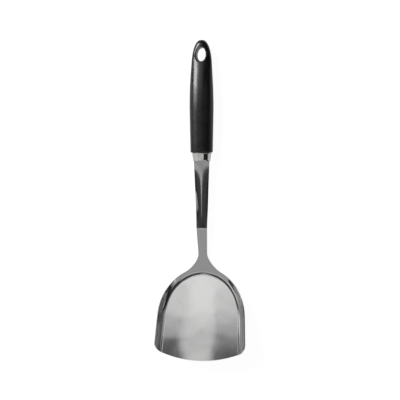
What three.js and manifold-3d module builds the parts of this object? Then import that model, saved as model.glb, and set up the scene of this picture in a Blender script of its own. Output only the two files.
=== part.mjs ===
// A wok spatula: a pressed steel shovel head with neck, shank and tang in one sheet, a steel ferrule and a
// moulded handle. It lies face up at rest on its heel and the belly of its handle.
// Millimetres, +Z up, +Y towards the handle, +X across. The origin is below the middle of the whole spatula.

import * as THREE from "three";
import { mergeVertices } from "three/addons/utils/BufferGeometryUtils.js";
import Module from "manifold-3d";

const wasm = await Module();
wasm.setup();

// Fits and overruns
const fitGap = 0.3; // free space left wherever two pieces seat on each other
const cutOverrun = 2; // how far a cutting body runs past the faces that it opens

// Sheet of the head, neck, shank and tang
const sheetThickness = 1.2;

// Flat plate of the head, seen square on: half of an ellipse at the heel, then sides that flare to the front
const plateLength = 96; // heel to the middle of the front edge
const plateTilt = 15; // degrees that the front edge is raised when the spatula lies at rest
const archHalfWidth = 37;
const archDepth = 50;
const archFlareShare = 0.05; // sideways gain of the fold for each unit towards the front
const frontEdgeRadius = 119;
const plateBowPower = 3; // how late towards the front the rows across the plate take the edge's curve

// Outer edge of the head, seen the same way
const rimHalfWidth = 45.2;
const rimDepth = 53.6;
const rimCentre = 48; // from the heel to the widest place of the rim's ellipse
const rimFlareShare = 0.052;
const rimCornerRadius = 10.5;

// Turned-up walls
const foldRadius = 6; // on the upper face of the sheet
const neckFoldAngle = 25; // degrees between plate and neck
const wallFoldAngle = 48; // degrees between plate and side walls
const wallTurnStartShare = 0.2; // shares of the quarter arch over which the fold steepens
const wallTurnEndShare = 0.8;

// Neck and shank
const neckLength = 20; // heel to the narrowest place of the flare
const neckHalfWidth = 4.25;
const flareNeckHandle = 7; // lengths of the two handles that draw the flare
const flareRimHandle = 4;
const shankFoldShare = 0.3; // share of the flare's part of the fold that the shank's own width takes
const bendRadius = 45; // where the rising neck turns level
const bendDistance = 53; // heel to the middle of that turn
const shankHalfWidth = 8.55; // at the ferrule
const shankReach = 123.5; // heel to the mouth of the ferrule
const crownHeight = 1.5; // how far the middle of the shank stands above its edges
const crownFullShare = 0.3; // where the crown is full, as a share of the shank from its bend to the ferrule

// Tang
const shoulderOutset = 1.5; // how far before the ferrule the shank starts to round in
const shoulderRun = 3;
const tangHalfWidth = 5.5;
const tangLength = 62;
const tangEndRun = 3; // length over which the end of the tang narrows
const tangEndHalfWidth = 3;
const lockHoleRadius = 2.6;
const lockHolePlaces = [24, 46]; // from the shoulder

// Ferrule
const ferruleLength = 9.2;
const ferruleWall = 0.8;
const ferruleHalfWidth = 10.2; // at the handle, without its lip
const ferruleHalfDepth = 7;
const ferruleTaper = 1.2; // how much smaller both half sizes are at the mouth
const ferruleLipHeight = 0.4;
const ferruleLipLength = 1;
const ferruleMouthRadius = 0.3;

// Handle
const handleLength = 123.8;
const handleHalfWidth = 13.05; // at its widest
const handleHalfDepth = 9.9; // at its deepest
const handleNoseRadius = 1.2;
const handleButtLength = 26; // the rounded end about the hanging hole, seen from above
const handleButtRoundness = 2.5; // exponent of that end's outline
const handleButtEdge = 8; // the rounded end seen from the side
const handleRoundness = 2.15; // exponent of its section, where 2 is an ellipse
const handleAxisHeight = handleHalfDepth; // the belly touches the surface that the spatula lies on

// Stations of the handle from nose to butt: share of the length, then shares of the full half width and half
// depth, and the drop of the middle line as a share of the half depth
const handleStationShares = [
  [0, 0.935, 0.87, 0],
  [0.21, 0.97, 0.94, 0],
  [0.42, 1, 1, 0],
  [0.58, 0.97, 0.94, 0],
  [0.69, 0.915, 0.79, 0.03],
  [0.77, 0.87, 0.63, 0.085],
  [0.84, 0.83, 0.53, 0.12],
  [0.92, 0.78, 0.505, 0.13],
  [1, 0.74, 0.49, 0.13],
];

// Hanging hole
const holeHalfWidth = 5.4;
const holeHalfLength = 7.8;
const holeFromButt = 15.6; // from the end of the handle to the middle of the hole
const lipWidth = 2; // of the raised lip about the hole
const lipRadius = 1; // of the lip's two edges
const lipRise = 0.9; // how far the lip stands above the crest of the handle
const lipMouthLift = 0.1; // keeps the rounding of the mouth clear of the lip's crest

// Fineness of the facets
const flareSteps = 9;
const quarterSteps = 18;
const sideSteps = 5;
const cornerSteps = 6;
const shankColumns = 4; // on each side of the middle
const foldRows = 4;
const wallRows = 5;
const plateColumns = 10;
const shankRows = 30;
const shortRows = 6; // along the neck, the bend and the tang
const shoulderRows = 5;
const tipRows = 1;
const bodyRings = 13;
const buttRings = 13;
const handleSides = 44;
const noseSteps = 3;
const pinSides = 24;
const holeSides = 36;
const lipSteps = 3;
const archSamples = 400;
const tipShare = 0.6; // share of a step left open at the tip of the butt

const radians = THREE.MathUtils.degToRad;
const { lerp, smoothstep } = THREE.MathUtils;

// Sheet helpers

/** Thickens an open surface downwards and closes its edges. */
function thickenSheet(points, quads, thickness) {
  const triangles = quads.flatMap(([a, b, c, d]) => [[a, b, c], [a, c, d]]);
  const solid = triangles.filter(([a, b, c]) => a !== b && b !== c && c !== a);
  const normals = points.map(() => new THREE.Vector3());
  const one = new THREE.Vector3();
  const two = new THREE.Vector3();
  for (const [a, b, c] of solid) {
    one.subVectors(points[b], points[a]);
    two.subVectors(points[c], points[a]);
    one.cross(two);
    for (const corner of [a, b, c]) normals[corner].add(one);
  }
  const lower = points.map((point, i) => point.clone().addScaledVector(normals[i].normalize(), -thickness));
  const positions = [...points, ...lower].flatMap((point) => point.toArray());
  const below = points.length;
  const indices = solid.flat();
  for (const [a, b, c] of solid) indices.push(a + below, c + below, b + below);
  const edges = new Set(solid.flatMap(([a, b, c]) => [`${a} ${b}`, `${b} ${c}`, `${c} ${a}`]));
  for (const edge of edges) {
    const [a, b] = edge.split(" ").map(Number);
    if (edges.has(`${b} ${a}`)) continue;
    indices.push(b, a, a + below);
    indices.push(b, a + below, b + below);
  }
  const geometry = new THREE.BufferGeometry();
  geometry.setAttribute("position", new THREE.Float32BufferAttribute(positions, 3));
  geometry.setIndex(indices);
  return geometry;
}

/** Joins rings of points with equal counts into a closed skin, with a flat or pointed cap at each end. */
function loftRings(rings) {
  const count = rings[0].length;
  const positions = rings.flat().flatMap((point) => point.toArray());
  const indices = [];
  for (let row = 0; row + 1 < rings.length; row += 1) {
    for (let i = 0; i < count; i += 1) {
      const a = row * count + i;
      const b = row * count + ((i + 1) % count);
      indices.push(a, b, b + count);
      indices.push(a, b + count, a + count);
    }
  }
  for (const last of [false, true]) {
    const start = last ? (rings.length - 1) * count : 0;
    const middle = positions.length / 3;
    const centre = new THREE.Vector3();
    for (const point of rings[last ? rings.length - 1 : 0]) centre.addScaledVector(point, 1 / count);
    positions.push(...centre.toArray());
    for (let i = 0; i < count; i += 1) {
      const a = start + i;
      const b = start + ((i + 1) % count);
      indices.push(...(last ? [a, b, middle] : [b, a, middle]));
    }
  }
  const geometry = new THREE.BufferGeometry();
  geometry.setAttribute("position", new THREE.Float32BufferAttribute(positions, 3));
  geometry.setIndex(indices);
  return geometry;
}

/** Turns a closed geometry into a solid for cutting and joining. */
function toSolid(geometry) {
  const bare = geometry.clone();
  bare.deleteAttribute("normal");
  bare.deleteAttribute("uv");
  const merged = mergeVertices(bare);
  const vertProperties = new Float32Array(merged.attributes.position.array);
  const triVerts = new Uint32Array(merged.index.array);
  return new wasm.Manifold(new wasm.Mesh({ numProp: 3, vertProperties, triVerts }));
}

/** Turns a solid back into a geometry. */
function toGeometry(solid) {
  const { vertProperties, triVerts } = solid.getMesh();
  const geometry = new THREE.BufferGeometry();
  geometry.setAttribute("position", new THREE.BufferAttribute(vertProperties, 3));
  geometry.setIndex(new THREE.BufferAttribute(triVerts, 1));
  geometry.computeVertexNormals();
  return geometry;
}

// Plan of the head: x across, s from the heel towards the front edge

/** Front edge of the head at a distance from the middle. */
function frontEdge(x) {
  return plateLength - frontEdgeRadius + Math.sqrt(frontEdgeRadius ** 2 - x ** 2);
}

/** Place on the fold between plate and walls, for a quarter turn and then a straight run of the side. */
function archPoint(turn, run) {
  const s = archDepth * (1 - Math.cos(turn)) + run;
  return new THREE.Vector2(archHalfWidth * Math.sin(turn) + archFlareShare * s, s);
}

/** Place on the elliptical part of the rim and its straight run. */
function rimPoint(turn, run) {
  const s = rimCentre - rimDepth * Math.cos(turn) + run;
  return new THREE.Vector2(rimHalfWidth * Math.sin(turn) + rimFlareShare * s, s);
}

const straightUp = Math.PI / 2;

/** How far the fold's side runs straight before it meets the front edge. */
function archSideRun() {
  let run = plateLength - archDepth;
  for (let pass = 0; pass < archSamples; pass += 1) {
    const end = archPoint(straightUp, run);
    run += frontEdge(end.x) - end.y;
  }
  return run;
}

const archRun = archSideRun();

// Rounded front corner of the rim: a circle that touches the side line and the front edge
const sideLean = Math.atan(rimFlareShare);
const cornerCentreRadius = frontEdgeRadius - rimCornerRadius;
const frontCentre = plateLength - frontEdgeRadius;

/** Centre of the circle that rounds the front corner. */
function cornerCentre() {
  const sideOffset = rimCornerRadius / Math.cos(sideLean);
  let s = plateLength - rimCornerRadius;
  let x = 0;
  for (let pass = 0; pass < archSamples; pass += 1) {
    x = rimHalfWidth + rimFlareShare * s - sideOffset;
    s = frontCentre + Math.sqrt(cornerCentreRadius ** 2 - x ** 2);
  }
  return new THREE.Vector2(x, s);
}

const corner = cornerCentre();
const cornerStart = -sideLean;
const cornerEnd = Math.atan2(corner.y - frontCentre, corner.x);

/** Place on the rounded front corner, from the side to the front edge. */
function cornerPoint(share) {
  const angle = lerp(cornerStart, cornerEnd, share);
  return new THREE.Vector2(
    corner.x + rimCornerRadius * Math.cos(angle),
    corner.y + rimCornerRadius * Math.sin(angle),
  );
}

// The flare leaves the rim's ellipse level with the heel and ends at the narrowest place of the neck
const flareTurn = Math.acos(rimCentre / rimDepth);
const flareTop = rimPoint(flareTurn, 0);
const flareStep = rimPoint(flareTurn + radians(1), 0).sub(flareTop).normalize();
const flareCurve = new THREE.CubicBezierCurve(
  new THREE.Vector2(neckHalfWidth, -neckLength),
  new THREE.Vector2(neckHalfWidth, flareNeckHandle - neckLength),
  flareTop.clone().addScaledVector(flareStep, -flareRimHandle / flareStep.y),
  flareTop,
);

// Columns of the head from the middle of the neck to the front corner: each joins the fold to the outer edge
const shankTurn = flareTurn * shankFoldShare;
const columns = [];
for (let i = 0; i <= shankColumns; i += 1) {
  const share = i / shankColumns;
  const edge = new THREE.Vector2(neckHalfWidth * share, -neckLength);
  columns.push({ fold: archPoint(shankTurn * share, 0), edge });
}
for (let i = 1; i <= flareSteps; i += 1) {
  const share = i / flareSteps;
  columns.push({ fold: archPoint(lerp(shankTurn, flareTurn, share), 0), edge: flareCurve.getPoint(share) });
}
for (let i = 1; i <= quarterSteps; i += 1) {
  const turn = lerp(flareTurn, straightUp, i / quarterSteps);
  columns.push({ fold: archPoint(turn, 0), edge: rimPoint(turn, 0) });
}
const cornerFoldRun = archRun - rimCornerRadius;
for (let i = 1; i <= sideSteps; i += 1) {
  const share = i / sideSteps;
  const edge = rimPoint(straightUp, 0).lerp(cornerPoint(0), share);
  columns.push({ fold: archPoint(straightUp, cornerFoldRun * share), edge });
}
for (let i = 1; i <= cornerSteps; i += 1) {
  const share = i / cornerSteps;
  const run = lerp(cornerFoldRun, archRun, share);
  columns.push({ fold: archPoint(straightUp, run), edge: cornerPoint(share) });
}

// Finely sampled fold, to measure how far a place on a wall lies from it
const foldSamples = [];
for (let i = 0; i <= archSamples; i += 1) {
  const share = i / archSamples;
  foldSamples.push({ share, point: archPoint(straightUp * share, 0) });
}
foldSamples.push({ share: 1, point: archPoint(straightUp, archRun * 2) });

/** Distance from the fold and the share of the quarter arch at its nearest place. */
function nearestFold(x, s) {
  const place = new THREE.Vector2(x, s);
  const nearest = { distance: Infinity, share: 0 };
  for (let i = 0; i + 1 < foldSamples.length; i += 1) {
    const from = foldSamples[i];
    const along = foldSamples[i + 1].point.clone().sub(from.point);
    const part = THREE.MathUtils.clamp(place.clone().sub(from.point).dot(along) / along.lengthSq(), 0, 1);
    const distance = from.point.clone().addScaledVector(along, part).distanceTo(place);
    if (distance < nearest.distance) {
      nearest.distance = distance;
      nearest.share = lerp(from.share, foldSamples[i + 1].share, part);
    }
  }
  return nearest;
}

/** Height of the upper face above the plate's plane at a place on the walls or the neck. */
function wallHeight(x, s) {
  const { distance, share } = nearestFold(x, s);
  const steepening = smoothstep(share, wallTurnStartShare, wallTurnEndShare);
  const angle = radians(lerp(neckFoldAngle, wallFoldAngle, steepening));
  const curved = foldRadius * Math.sin(angle);
  if (distance < curved) return foldRadius - Math.sqrt(foldRadius ** 2 - distance ** 2);
  return foldRadius * (1 - Math.cos(angle)) + (distance - curved) * Math.tan(angle);
}

// Pose at rest: the outer curve of the fold at the heel touches the surface that the spatula lies on
const tilt = radians(plateTilt);
const heelHeight = foldRadius + sheetThickness - foldRadius * Math.cos(tilt);

/** Place of the head in the frame of the spatula lying at rest, with y measured from the heel. */
function headPlace(x, s, height) {
  return new THREE.Vector3(
    x,
    height * Math.sin(tilt) - s * Math.cos(tilt),
    heelHeight + height * Math.cos(tilt) + s * Math.sin(tilt),
  );
}

// Middle line of neck and shank seen from the side
const neckRise = radians(neckFoldAngle - plateTilt);
const neckEnd = headPlace(0, -neckLength, wallHeight(0, -neckLength));
const bendTangent = bendRadius * Math.tan(neckRise / 2);
const bendStart = bendDistance - bendTangent * Math.cos(neckRise);
const shankLevel = neckEnd.z + (bendDistance - neckEnd.y) * Math.tan(neckRise);

/** Height of the middle line at a distance from the heel. */
function shankHeight(y) {
  const turned = y - bendStart;
  const turnLength = bendTangent * (1 + Math.cos(neckRise));
  if (turned <= 0) return neckEnd.z + (y - neckEnd.y) * Math.tan(neckRise);
  if (turned >= turnLength) return shankLevel;
  const before = Math.sin(neckRise) * bendRadius - turned;
  return shankLevel - bendRadius + Math.sqrt(bendRadius ** 2 - before ** 2);
}

const sheetMiddle = shankLevel - sheetThickness / 2;
const shoulderY = shankReach - shoulderOutset;
const tangEndY = shoulderY + shoulderRun + tangLength;

/** Half width of shank and tang at a distance from the heel. */
function shankWidth(y) {
  if (y <= shoulderY) return lerp(neckHalfWidth, shankHalfWidth, (y - neckEnd.y) / (shankReach - neckEnd.y));
  const turned = (y - shoulderY) / shoulderRun;
  if (turned < 1) return lerp(tangHalfWidth, shankWidth(shoulderY), Math.sqrt(1 - turned ** 2));
  const tangEndStart = tangEndY - tangEndRun;
  if (y <= tangEndStart) return tangHalfWidth;
  return lerp(tangHalfWidth, tangEndHalfWidth, (y - tangEndStart) / tangEndRun);
}

/** Drop of the shank's edge below its middle at a distance from the heel. */
function crownDrop(y) {
  const share = (y - bendStart) / (shankReach - bendStart);
  return crownHeight * smoothstep(share, 0, crownFullShare) * (1 - smoothstep(share, crownFullShare, 1));
}

/** Open skin that is put together from patches of points, each kept by its number. */
class Skin {
  points = [];
  quads = [];

  add(point) {
    this.points.push(point);
    return this.points.length - 1;
  }

  /** Fills the strip between two rows of points, so that its faces look up. */
  strip(left, right) {
    for (let i = 0; i + 1 < left.length; i += 1) {
      this.quads.push([left[i], right[i], right[i + 1], left[i + 1]]);
    }
  }
}

/** Walls and neck on both sides: each column runs from the fold to the outer edge. */
function addWalls(skin) {
  const sides = [-1, 1].map((side) =>
    columns.map(({ fold, edge }) => {
      const reach = fold.distanceTo(edge);
      const curved = Math.min(foldRadius, reach / 2);
      const column = [];
      for (let row = 0; row <= foldRows + wallRows; row += 1) {
        const beyond = (row - foldRows) / wallRows;
        const distance = row <= foldRows ? (curved * row) / foldRows : lerp(curved, reach, beyond);
        const place = fold.clone().lerp(edge, distance / reach);
        column.push(skin.add(headPlace(side * place.x, place.y, wallHeight(place.x, place.y))));
      }
      return column;
    }),
  );
  const [left, right] = sides;
  left[0] = right[0];
  for (let i = 0; i + 1 < columns.length; i += 1) {
    skin.strip(right[i], right[i + 1]);
    skin.strip(left[i + 1], left[i]);
  }
  return { left, right };
}

/** Flat plate: rows cross it from fold to fold and bow out towards the front edge. */
function addPlate(skin, walls) {
  const frontFold = columns[columns.length - 1].fold;
  let previous = null;
  columns.forEach(({ fold }, i) => {
    const row = [walls.left[i][0]];
    const bow = (fold.y / frontFold.y) ** plateBowPower;
    for (let k = 1; k < plateColumns; k += 1) {
      const x = fold.x * ((2 * k) / plateColumns - 1);
      const s = fold.y + bow * (frontEdge(x) - frontEdge(fold.x));
      row.push(i === 0 ? row[0] : skin.add(headPlace(x, s, 0)));
    }
    row.push(walls.right[i][0]);
    if (previous) skin.strip(previous, row);
    previous = row;
  });
}

/** Shank and tang, carried on from the end of the neck. */
function addShank(skin, walls) {
  const bendEnd = bendStart + bendTangent * (1 + Math.cos(neckRise));
  const tangEndStart = tangEndY - tangEndRun;
  const places = [];
  const spread = (from, to, steps) => {
    for (let i = 1; i <= steps; i += 1) places.push(lerp(from, to, i / steps));
  };
  spread(neckEnd.y, bendStart, shortRows);
  spread(bendStart, bendEnd, shortRows);
  spread(bendEnd, shoulderY, shankRows);
  for (let i = 1; i <= shoulderRows; i += 1) {
    places.push(shoulderY + shoulderRun * Math.sin((straightUp * i) / shoulderRows));
  }
  spread(shoulderY + shoulderRun, tangEndStart, shortRows);
  spread(tangEndStart, tangEndY, tipRows);
  const offsets = [];
  for (let i = -shankColumns; i <= shankColumns; i += 1) offsets.push(i);
  let previous = offsets.map((i) => (i < 0 ? walls.left : walls.right)[Math.abs(i)][foldRows + wallRows]);
  for (const y of places) {
    const row = offsets.map((i) => {
      const share = i / shankColumns;
      const height = shankHeight(y) - crownDrop(y) * share ** 2;
      return skin.add(new THREE.Vector3(shankWidth(y) * share, y, height));
    });
    skin.strip(row, previous);
    previous = row;
  }
}

/** Head, neck, shank and tang as one formed sheet. */
function buildBlade() {
  const skin = new Skin();
  const walls = addWalls(skin);
  addPlate(skin, walls);
  addShank(skin, walls);
  let solid = toSolid(thickenSheet(skin.points, skin.quads, sheetThickness));
  const pinLength = 2 * cutOverrun + sheetThickness;
  for (const place of lockHolePlaces) {
    const hole = new THREE.CylinderGeometry(lockHoleRadius, lockHoleRadius, pinLength, pinSides);
    hole.rotateX(straightUp);
    hole.translate(0, shoulderY + place, sheetMiddle);
    solid = solid.subtract(toSolid(hole));
  }
  return toGeometry(solid);
}

const handleNoseY = shankReach + ferruleLength;
const holePlace = handleLength - holeFromButt; // from the nose of the handle

/** Ring of points of an elliptical section that stands across the y axis. */
function ellipseRing(halfWidth, halfDepth, y, z, roundness, count) {
  const ring = [];
  for (let i = 0; i < count; i += 1) {
    const angle = (-2 * Math.PI * i) / count;
    const across = Math.sign(Math.cos(angle)) * Math.abs(Math.cos(angle)) ** (2 / roundness);
    const up = Math.sign(Math.sin(angle)) * Math.abs(Math.sin(angle)) ** (2 / roundness);
    ring.push(new THREE.Vector3(halfWidth * across, y, z + halfDepth * up));
  }
  return ring;
}

/** Drawn collar: a tapered shell with a lip at the handle and an end wall slotted for the shank. */
function buildFerrule() {
  const near = handleNoseY - fitGap;
  const far = shankReach;
  const length = near - far;
  const section = (y, grow) => {
    const taper = ferruleTaper * ((near - y) / length);
    const width = ferruleHalfWidth - taper + grow;
    return ellipseRing(width, ferruleHalfDepth - taper + grow, y, sheetMiddle, 2, handleSides);
  };
  const lipStart = near - ferruleLipLength;
  const mouth = far + ferruleMouthRadius;
  const outer = [
    section(far, -ferruleMouthRadius),
    section(far + ferruleMouthRadius * (1 - Math.SQRT1_2), -ferruleMouthRadius * (1 - Math.SQRT1_2)),
    section(mouth, 0),
    section(lipStart, 0),
    section(lipStart + ferruleLipHeight / 2, ferruleLipHeight),
    section(near - ferruleLipHeight / 2, ferruleLipHeight),
    section(near, ferruleLipHeight / 2),
  ];
  const hollow = [section(far + ferruleWall, -ferruleWall), section(near + cutOverrun, -ferruleWall)];
  const slot = new THREE.BoxGeometry(
    2 * (shankWidth(far) + fitGap),
    2 * (ferruleWall + fitGap),
    sheetThickness + 2 * fitGap,
  );
  slot.translate(0, far, sheetMiddle);
  return toGeometry(toSolid(loftRings(outer)).subtract(toSolid(loftRings(hollow))).subtract(toSolid(slot)));
}

// Smooth curves through the handle's stations
const stationCurve = (index) =>
  new THREE.SplineCurve(handleStationShares.map((station) => new THREE.Vector2(station[0], station[index])));
const widthCurve = stationCurve(1);
const depthCurve = stationCurve(2);
const dropCurve = stationCurve(3);

/** Value of a station curve at a share of the handle's length. */
function stationValue(curve, share) {
  const stations = curve.points;
  let index = 0;
  while (index + 2 < stations.length && stations[index + 1].x < share) index += 1;
  const part = (share - stations[index].x) / (stations[index + 1].x - stations[index].x);
  return curve.getPoint((index + part) / (stations.length - 1)).y;
}

/** Half width, half depth and middle height of the handle at a distance from its nose. */
function handleSection(u) {
  const share = THREE.MathUtils.clamp(u / handleLength, 0, 1);
  const buttShare = Math.max(0, (u - (handleLength - handleButtLength)) / handleButtLength);
  const rounding = Math.max(0, 1 - buttShare ** handleButtRoundness) ** (1 / handleButtRoundness);
  const edgeShare = Math.max(0, (u - (handleLength - handleButtEdge)) / handleButtEdge);
  const depthRounding = Math.sqrt(Math.max(0, 1 - edgeShare ** 2));
  const noseShare = Math.max(0, 1 - u / handleNoseRadius);
  const noseCut = handleNoseRadius * (1 - Math.sqrt(1 - noseShare ** 2));
  return {
    halfWidth: handleHalfWidth * stationValue(widthCurve, share) * rounding - noseCut,
    halfDepth: handleHalfDepth * stationValue(depthCurve, share) * depthRounding - noseCut,
    height: handleAxisHeight - handleHalfDepth * stationValue(dropCurve, share),
  };
}

/** Level oval of points about the hanging hole, grown from the hole's own edge. */
function holeRing(grow, z) {
  const ring = [];
  for (let i = 0; i < holeSides; i += 1) {
    const angle = (2 * Math.PI * i) / holeSides;
    const x = (holeHalfWidth + grow) * Math.cos(angle);
    ring.push(new THREE.Vector3(x, handleNoseY + holePlace + (holeHalfLength + grow) * Math.sin(angle), z));
  }
  return ring;
}

/** How far a quarter round of the lip's radius still is from its side and from its end, step by step. */
const lipRound = [];
for (let i = 0; i <= lipSteps; i += 1) {
  const turn = (straightUp * i) / lipSteps;
  lipRound.push({ aside: lipRadius * (1 - Math.sin(turn)), along: lipRadius * (1 - Math.cos(turn)) });
}

/** Collar whose two rounded ends make the raised lips of the hanging hole. */
function lipCollar(low, high) {
  const lower = lipRound.map(({ aside, along }) => holeRing(lipWidth - aside, low + along));
  const upper = lipRound.map(({ aside, along }) => holeRing(lipWidth - aside, high - along));
  return loftRings([...lower, ...upper.reverse()]);
}

/** Body that cuts the hanging hole and rounds its two mouths. */
function holeCutter(low, high) {
  const lower = lipRound.map(({ aside, along }) => holeRing(aside, low - lipMouthLift + along));
  const upper = lipRound.map(({ aside, along }) => holeRing(aside, high + lipMouthLift - along));
  const below = holeRing(lipRadius, low - cutOverrun);
  const above = holeRing(lipRadius, high + cutOverrun);
  return loftRings([below, ...lower, ...upper.reverse(), above]);
}

/** Moulded handle: spigot for the ferrule, socket and posts for the tang, and the hanging hole. */
function buildHandle() {
  const rings = [];
  for (let i = 0; i < noseSteps; i += 1) {
    const turn = (straightUp * i) / noseSteps;
    rings.push(handleNoseRadius * (1 - Math.cos(turn)));
  }
  const bodyEnd = handleLength - handleButtLength;
  for (let i = 0; i < bodyRings; i += 1) rings.push(lerp(handleNoseRadius, bodyEnd, i / bodyRings));
  for (let i = 0; i < buttRings; i += 1) {
    rings.push(bodyEnd + handleButtLength * Math.sin((straightUp * i) / (buttRings - tipShare)));
  }
  const skin = rings.map((u) => {
    const { halfWidth, halfDepth, height } = handleSection(u);
    return ellipseRing(halfWidth, halfDepth, handleNoseY + u, height, handleRoundness, handleSides);
  });
  let solid = toSolid(loftRings(skin));

  const spigotStart = shoulderY + shoulderRun + fitGap;
  const spigotTaper = (y) => (ferruleTaper * (handleNoseY - y)) / ferruleLength + ferruleWall + fitGap;
  const spigotEnd = handleNoseY + handleNoseRadius;
  const spigotRing = (y, taperY) => {
    const inset = spigotTaper(taperY);
    return ellipseRing(ferruleHalfWidth - inset, ferruleHalfDepth - inset, y, sheetMiddle, 2, handleSides);
  };
  const spigot = [spigotRing(spigotStart, spigotStart), spigotRing(spigotEnd, handleNoseY)];
  solid = solid.add(toSolid(loftRings(spigot)));

  const atHole = handleSection(holePlace);
  const lipLow = atHole.height - atHole.halfDepth - lipRise;
  const lipHigh = atHole.height + atHole.halfDepth + lipRise;
  solid = solid.add(toSolid(lipCollar(lipLow, lipHigh)));
  solid = solid.subtract(toSolid(holeCutter(lipLow, lipHigh)));

  const socketEnd = tangEndY + fitGap;
  const socketStart = spigotStart - cutOverrun;
  const socket = new THREE.BoxGeometry(
    2 * (tangHalfWidth + fitGap),
    socketEnd - socketStart,
    sheetThickness + 2 * fitGap,
  );
  socket.translate(0, (socketStart + socketEnd) / 2, sheetMiddle);
  let socketSolid = toSolid(socket);
  const postRadius = lockHoleRadius - fitGap;
  const postLength = sheetThickness + 2 * cutOverrun;
  for (const place of lockHolePlaces) {
    const post = new THREE.CylinderGeometry(postRadius, postRadius, postLength, pinSides);
    post.rotateX(straightUp);
    post.translate(0, shoulderY + place, sheetMiddle);
    socketSolid = socketSolid.subtract(toSolid(post));
  }
  return toGeometry(solid.subtract(socketSolid));
}

// Finishes
const brushedSteel = new THREE.MeshStandardMaterial({ color: 0xc6c5c3, metalness: 1, roughness: 0.3 });
const polishedSteel = new THREE.MeshStandardMaterial({ color: 0xd0cfcd, metalness: 1, roughness: 0.15 });
const blackPlastic = new THREE.MeshStandardMaterial({ color: 0x151515, metalness: 0, roughness: 0.42 });

/** Named piece of the spatula. */
function piece(name, geometry, material) {
  const mesh = new THREE.Mesh(geometry, material);
  mesh.name = name;
  return mesh;
}

const spatula = new THREE.Group();
spatula.add(
  piece("blade", buildBlade(), brushedSteel),
  piece("ferrule", buildFerrule(), polishedSteel),
  piece("handle", buildHandle(), blackPlastic),
);

// The origin goes below the middle of the whole length
const box = new THREE.Box3().setFromObject(spatula);
spatula.position.y = -(box.min.y + box.max.y) / 2;

export default spatula;
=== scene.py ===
"""Looks of a wok spatula: a pressed steel blade, a drawn steel ferrule and a moulded handle.

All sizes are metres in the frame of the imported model: +Z up, +Y from the head to the handle.
"""

import logging
import math
from collections.abc import Callable, Iterator, Sequence
from contextlib import contextmanager
from dataclasses import dataclass, field
from enum import Enum
from typing import Any

import bpy
import numpy as np
from bpy.types import Material, NodeTree, Object
from mathutils import Matrix, Vector


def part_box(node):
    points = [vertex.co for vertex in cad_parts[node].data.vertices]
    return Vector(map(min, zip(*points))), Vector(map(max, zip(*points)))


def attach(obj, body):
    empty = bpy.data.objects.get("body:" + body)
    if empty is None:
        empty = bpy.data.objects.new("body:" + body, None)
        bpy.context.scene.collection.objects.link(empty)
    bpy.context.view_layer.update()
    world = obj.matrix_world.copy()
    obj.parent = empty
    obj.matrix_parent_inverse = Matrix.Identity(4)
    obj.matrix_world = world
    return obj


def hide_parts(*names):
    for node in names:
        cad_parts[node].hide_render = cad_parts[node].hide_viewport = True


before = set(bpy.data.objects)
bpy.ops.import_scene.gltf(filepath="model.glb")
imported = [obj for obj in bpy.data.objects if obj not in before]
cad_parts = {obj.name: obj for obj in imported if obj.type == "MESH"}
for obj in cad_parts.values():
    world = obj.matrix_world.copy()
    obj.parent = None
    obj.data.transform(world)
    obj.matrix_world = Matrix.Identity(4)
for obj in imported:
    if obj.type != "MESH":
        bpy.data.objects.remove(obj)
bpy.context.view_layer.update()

log = logging.getLogger("spatula")

Array = np.ndarray
Pair = tuple[float, float]
Triple = tuple[float, float, float]

BODY = "root"
QUARTER_TURN = math.pi / 2
MERGE_REACH = 1e-6
SEAM_REACH = 2e-6
SOLVE_ROUNDS = 60
NORMAL_WEIGHT = 50
PEG_THICKNESSES = 4
MM_PER_METRE = 1000
LINE_SLOWNESS = 0.012
LINE_MASK_SCALE = 0.22
CLOUD_DISTORTION = 0.6


class Slot(Enum):
    """Material slots that the record names."""

    BLADE = "blade_steel"
    FERRULE = "ferrule_steel"
    HANDLE = "handle_plastic"


class Cut(Enum):
    """What a boolean does with its tool."""

    JOIN = "UNION"
    TAKE_AWAY = "DIFFERENCE"


class Start(Enum):
    """How the circle is turned that a body is drawn out of."""

    ACROSS = (QUARTER_TURN, 0, 0)
    FLAT = (0, 0, 0)


# Work with Blender's operators


def select_only(*objects: Object) -> None:
    """Selects these objects, or none, and makes the first one active.

    Args:
        objects: The objects to select.
    """
    bpy.ops.object.select_all(action="DESELECT")
    for piece in objects:
        piece.select_set(True)
    if objects:
        bpy.context.view_layer.objects.active = objects[0]


@contextmanager
def edit_mode(piece: Object) -> Iterator[None]:
    """Opens one object in edit mode, with its mesh selected all over, and closes it again.

    Args:
        piece: The object to edit.

    Returns:
        A context to shape the mesh in.
    """
    select_only(piece)
    bpy.ops.object.mode_set(mode="EDIT")
    bpy.ops.mesh.select_all(action="SELECT")
    yield
    bpy.ops.object.mode_set(mode="OBJECT")


def settle(piece: Object, name: str) -> Object:
    """Names an object and moves its place, turn and scale into its mesh.

    Args:
        piece: The object.
        name: Its name.

    Returns:
        The same object.
    """
    piece.name = piece.data.name = name
    select_only(piece)
    bpy.ops.object.transform_apply(location=True, rotation=True, scale=True)
    return piece


def add_primitive(
    add: Callable[..., Any], name: str, stretch: Triple = (1, 1, 1), **settings: Any
) -> Object:
    """Adds a primitive, stretches it and settles it.

    Args:
        add: Blender's operator for the primitive.
        name: Name of the new object.
        stretch: Factors on its three sides.
        settings: What the operator is told.

    Returns:
        The new object.
    """
    select_only()
    add(**settings)
    bpy.context.object.scale = stretch
    return settle(bpy.context.object, name)


def add_box(name: str, middle: Triple, sides: Triple) -> Object:
    """Adds a box about its middle."""
    return add_primitive(bpy.ops.mesh.primitive_cube_add, name, sides, size=1, location=middle)


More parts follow.
